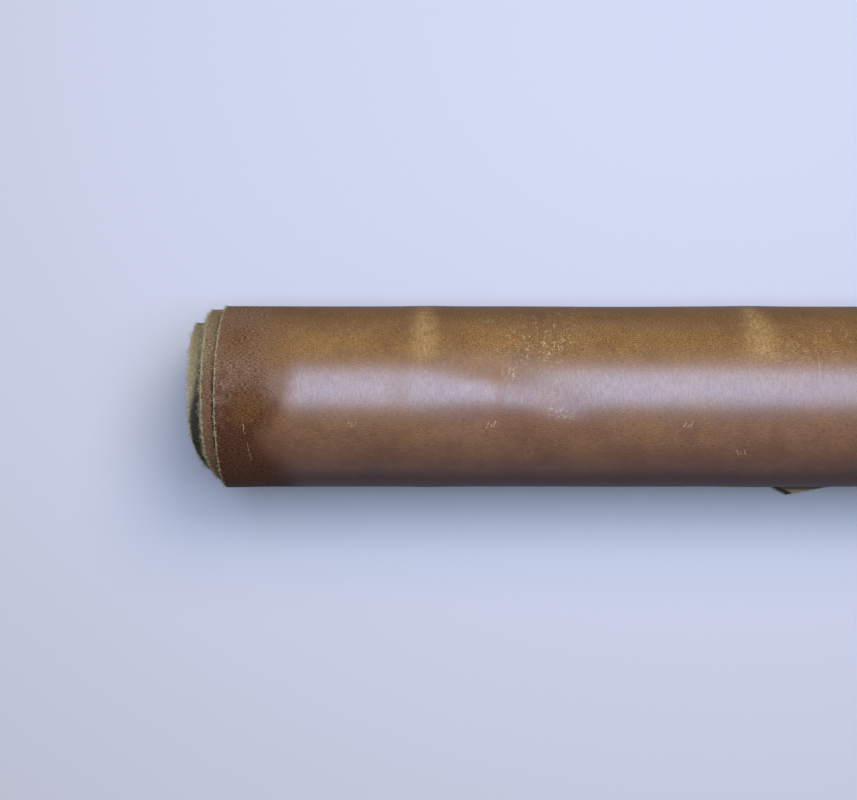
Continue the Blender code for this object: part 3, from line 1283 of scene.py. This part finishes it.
def side_fibres(name, side, seed):
    chance = np.random.default_rng(seed)
    count = round(length_wound(TURNS) * FIBRES_PER_METRE[side])
    turns = chance.uniform(0.02, TURNS - 0.01, count)
    low, high = INNER_TURNS_SHOW
    shows = (turns < OUTER_TURNS_SHOW) | ((turns > low) & (turns < high))
    turns = turns[shows | (chance.random(count) < BURIED_SHARE)]
    count = len(turns)
    place = np.full(count, side * HALF_WIDTH)
    point, along, outwards = wound_frame(turns, place)
    inset = LEATHER * chance.beta(0.7, 1.2, count)
    root = point - outwards * inset[:, None] - side * ROOT_DEPTH * X_AXIS
    tufts = chance.uniform(0, TURNS, round(TURNS * TUFTS_PER_TURN))
    tufted = bump_shape(np.abs(turns[:, None] - tufts[None, :]).min(axis=1), TUFT_REACH)
    length = 0.0005 + (0.0010 + 0.0038 * tufted) * chance.beta(1.2, 2.2, count)
    lean_out = np.clip(chance.normal(0.25, 0.35, count) - inset / LEATHER * 0.4, -0.5, 0.8)
    lean_along = chance.normal(0.0, 0.55, count)
    direction = side * X_AXIS + lean_out[:, None] * outwards + lean_along[:, None] * along
    tip = root + unit(direction) * (length + ROOT_DEPTH)[:, None]
    bend = chance.normal(0, 0.12, (count, 1)) * along
    bend = (bend + chance.normal(0, 0.08, (count, 1)) * outwards) * length[:, None]
    radius = FIBRE_RADIUS * chance.uniform(0.7, 1.3, count)
    clear = np.minimum(root[:, 2], tip[:, 2]) > 2 * FIBRE_RADIUS
    mesh = fibre_mesh(name, root[clear], tip[clear], bend[clear], radius[clear])
    return place_in_scene(name, mesh)


edge_fibres = [
    side_fibres("fibres_left_edge", -1, 21),
    side_fibres("fibres_right_edge", 1, 22),
]
print("fibres:", [len(obj.data.polygons) // FIBRE_FACES for obj in edge_fibres])

# %% [markdown]
# The two ends of the sheet are cut too.  The loose end lies on the ground, so its fibres
# point forward and never down.

# %% Fibres along the loose end and the inner end
def end_fibres(name, per_metre, inner, seed):
    chance = np.random.default_rng(seed)
    count = round(2 * HALF_WIDTH * per_metre)
    place = chance.uniform(-HALF_WIDTH + 0.002, HALF_WIDTH - 0.002, count)
    height = LEATHER * chance.random(count)
    length = 0.0004 + 0.0010 * chance.beta(1.2, 3.0, count)
    if inner:
        turns = np.full(count, TURNS)
        point, along, outwards = wound_frame(turns, place)
        root = point - outwards * height[:, None] - along * ROOT_DEPTH
        forward = along
        up = outwards
    else:
        reach = np.interp(place, LOOSE_END[:, 0], LOOSE_END[:, 1])
        lift = CORNER_LIFT * bump_shape(place - CORNER_PLACE, CORNER_HALF_WIDTH)
        root = np.stack([place, -reach + ROOT_DEPTH, height + lift], axis=1)
        forward = -Y_AXIS
        up = Z_AXIS
    lean = np.abs(chance.normal(0.1, 0.3, count))
    direction = forward + lean[:, None] * up + chance.normal(0, 0.6, (count, 1)) * X_AXIS
    tip = root + unit(direction) * (length + ROOT_DEPTH)[:, None]
    bend = X_AXIS * (chance.normal(0, 0.1, count) * length)[:, None]
    radius = FIBRE_RADIUS * chance.uniform(0.7, 1.3, count)
    return place_in_scene(name, fibre_mesh(name, root, tip, bend, radius))


edge_fibres += [
    end_fibres("fibres_loose_end", 2200, False, 23),
    end_fibres("fibres_inner_end", 900, True, 24),
]
for fibres in edge_fibres:
    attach(fibres, "root")
print("pieces of fibre:", len(edge_fibres))

# %% [markdown]
# The flat hide was 0.90 m wide and 2.75 m long, a usual side of a cow hide.  Leather that
# is bent stretches outside and shrinks inside, so each turn is shorter in its middle than
# on the grain side, by half the thickness times the angle.


# %% [markdown]
# ## The ground
#
# A plain pale floor, a little cool, lets the brown stand out and takes the soft shadow.

# %% Floor
FLOOR_HALF_SIZE = 4.0
FLOOR_GAP = 0.0003
FLOOR_COLOUR = (0.46, 0.445, 0.41, 1)
FLOOR_ROUGHNESS = 0.75


def make_floor():
    mesh = bpy.data.meshes.new("floor")
    signs = ((-1, -1), (1, -1), (1, 1), (-1, 1))
    corners = [(x * FLOOR_HALF_SIZE, y * FLOOR_HALF_SIZE, -FLOOR_GAP) for x, y in signs]
    mesh.from_pydata(corners, [], [(0, 1, 2, 3)])
    material = bpy.data.materials.new("pale floor")
    material.use_nodes = True
    shader = material.node_tree.nodes["Principled BSDF"].inputs
    shader["Base Color"].default_value = FLOOR_COLOUR
    shader["Roughness"].default_value = FLOOR_ROUGHNESS
    mesh.materials.append(material)
    return place_in_scene("floor", mesh)


floor = make_floor()
print("floor made")
